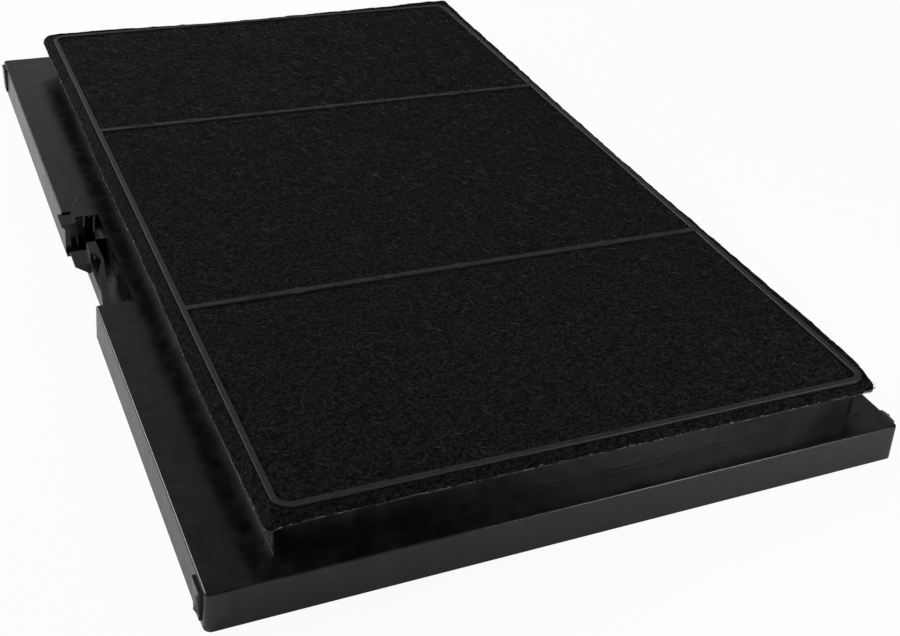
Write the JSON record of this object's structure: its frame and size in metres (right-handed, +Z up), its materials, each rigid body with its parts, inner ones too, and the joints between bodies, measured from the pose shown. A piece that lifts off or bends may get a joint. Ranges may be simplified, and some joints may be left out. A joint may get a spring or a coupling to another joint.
{
  "type": "cooker hood carbon filter",
  "caption": "Flat rectangular carbon filter for a cooker hood: moulded tray with a raised felt mat under a thin grid, and a sprung latch on one long side.",
  "frame": {"origin": "middle of the tray's base, where it rests", "axes": "+Z up through the felt, +Y along the long side towards the far end, +X across, away from the latch"},
  "size_m": [0.2895, 0.4618, 0.033],
  "materials": {
    "tray_plastic": "semi-gloss moulded black",
    "carbon_felt": "needled black fibre felt",
    "grid_plastic": "satin moulded charcoal grey",
    "latch_plastic": "semi-gloss moulded black"
  },
  "bodies": {
    "filter": {"tray": "tray_plastic", "carbon_mat": "carbon_felt", "mat_grid": "grid_plastic"},
    "latch": {"release_latch": "latch_plastic"}
  },
  "joints": [
    {"name": "latch_press", "type": "hinge", "parent": "filter", "child": "latch", "pos_m": [-0.1372, -0.0477, 0.0089], "axis": [0, 0, 1], "range_deg": [-5, 0], "stiffness_Nm_per_rad": 4}
  ]
}
